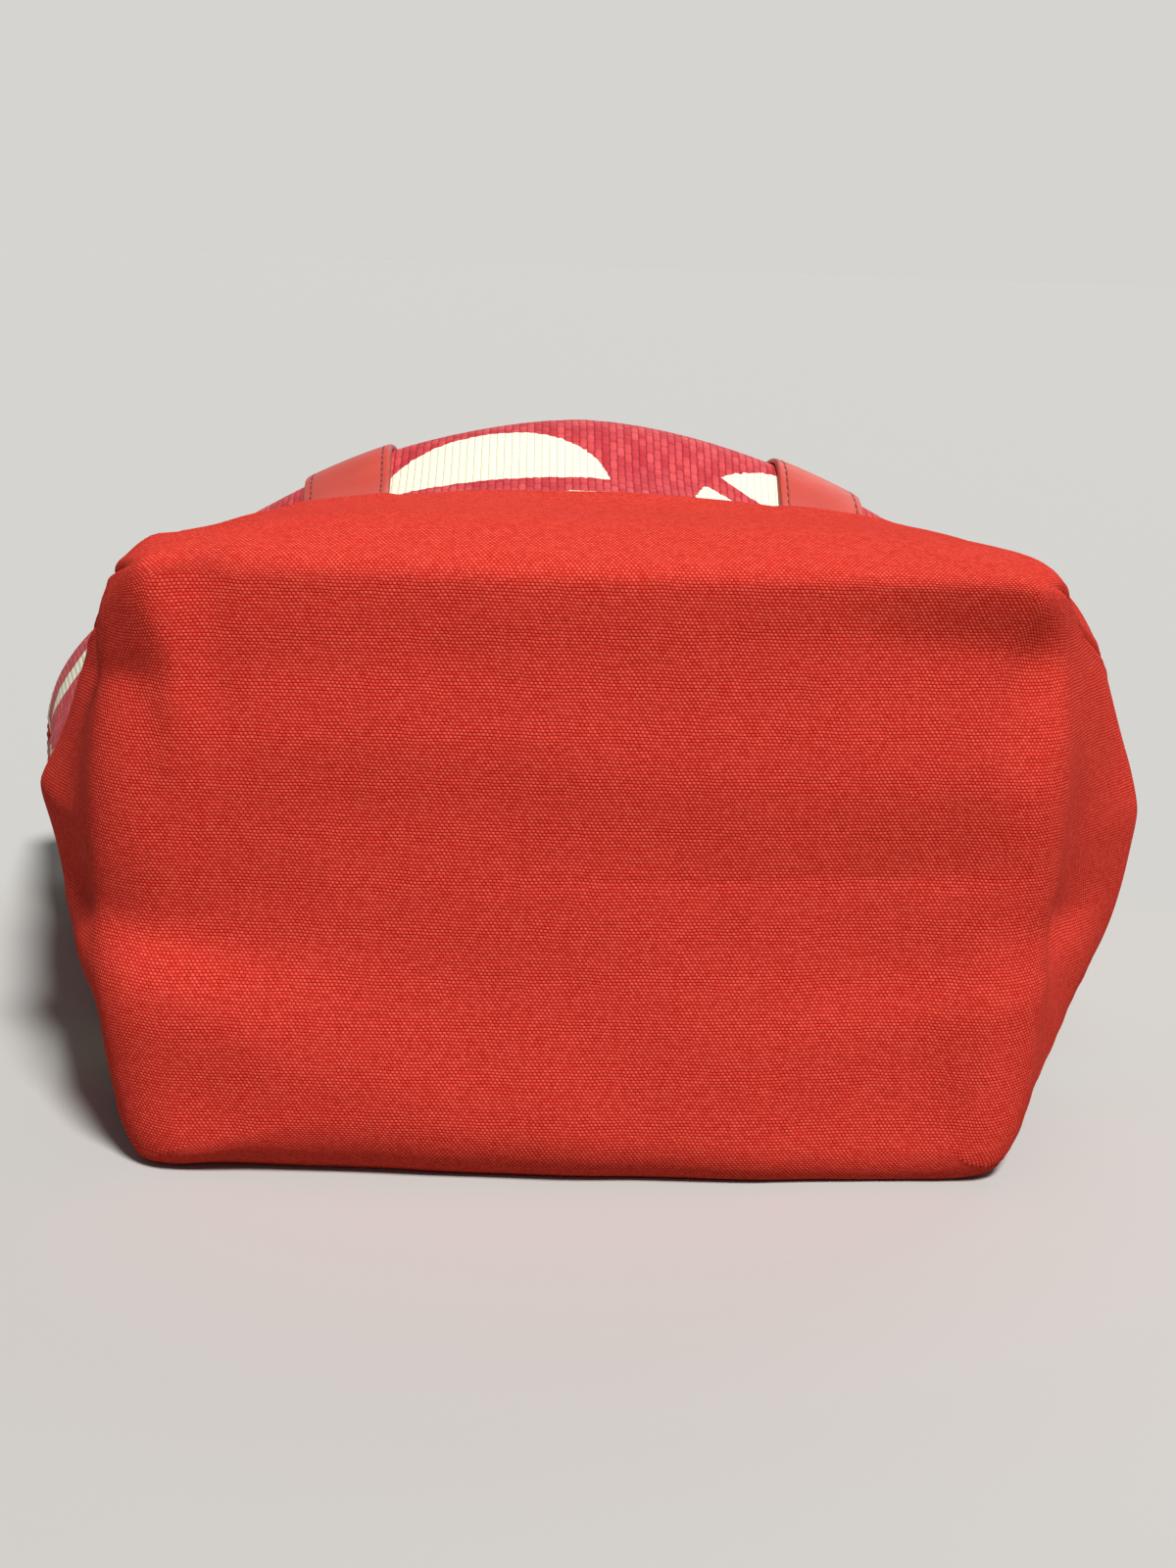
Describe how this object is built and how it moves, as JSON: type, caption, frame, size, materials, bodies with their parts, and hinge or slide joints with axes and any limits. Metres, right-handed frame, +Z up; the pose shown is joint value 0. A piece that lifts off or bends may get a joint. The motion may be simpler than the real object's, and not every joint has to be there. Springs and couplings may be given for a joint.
{
  "type": "tote bag",
  "caption": "Open-top tote bag lying on its back panel, with a flat canvas base and cup, woven upper body, sewn straps and free handle loops.",
  "frame": {"origin": "under the middle of the whole length and width, on the surface that the back panel lies on", "axes": "+X to the bag's right as seen from its base, +Y from the base to the mouth, +Z up from the back panel to the front panel"},
  "size_m": [0.419, 0.516, 0.2063],
  "materials": {
    "canvas": "coarse plain weave duck, matt",
    "woven_print": "flat ribbed straw-look weave with a cream print",
    "strap": "smooth satin with topstitched edges",
    "lining": "plain cotton",
    "seam_tape": "herringbone tape",
    "board": "fibreboard",
    "snap_metal": "satin nickel"
  },
  "bodies": {
    "bag": {"base_canvas": "canvas", "base_board": "board", "corner_seam_tapes": "seam_tape", "front_panel": "woven_print", "back_panel": "woven_print", "left_seam_tape": "seam_tape", "right_seam_tape": "seam_tape", "lining_body": "lining", "lining_base": "lining", "mouth_facing": "canvas", "mouth_binding": "canvas", "front_strap_left": "strap", "front_strap_right": "strap", "back_strap_left": "strap", "back_strap_right": "strap", "pocket_panel": "lining", "pocket_binding": "seam_tape", "snap_socket": "snap_metal", "snap_socket_washer": "snap_metal", "snap_stud": "snap_metal", "snap_stud_washer": "snap_metal"},
    "front_handle": {"front_handle": "strap"},
    "back_handle": {"back_handle": "strap"}
  },
  "joints": [
    {"name": "front_handle_swing", "type": "hinge", "parent": "bag", "child": "front_handle", "pos_m": [0, 0.04318, 0.116], "axis": [1, 0, 0], "range_deg": [0, 150]},
    {"name": "back_handle_swing", "type": "hinge", "parent": "bag", "child": "back_handle", "pos_m": [0, 0.04238, -0.0002], "axis": [1, 0, 0], "range_deg": [-170, 0]}
  ]
}
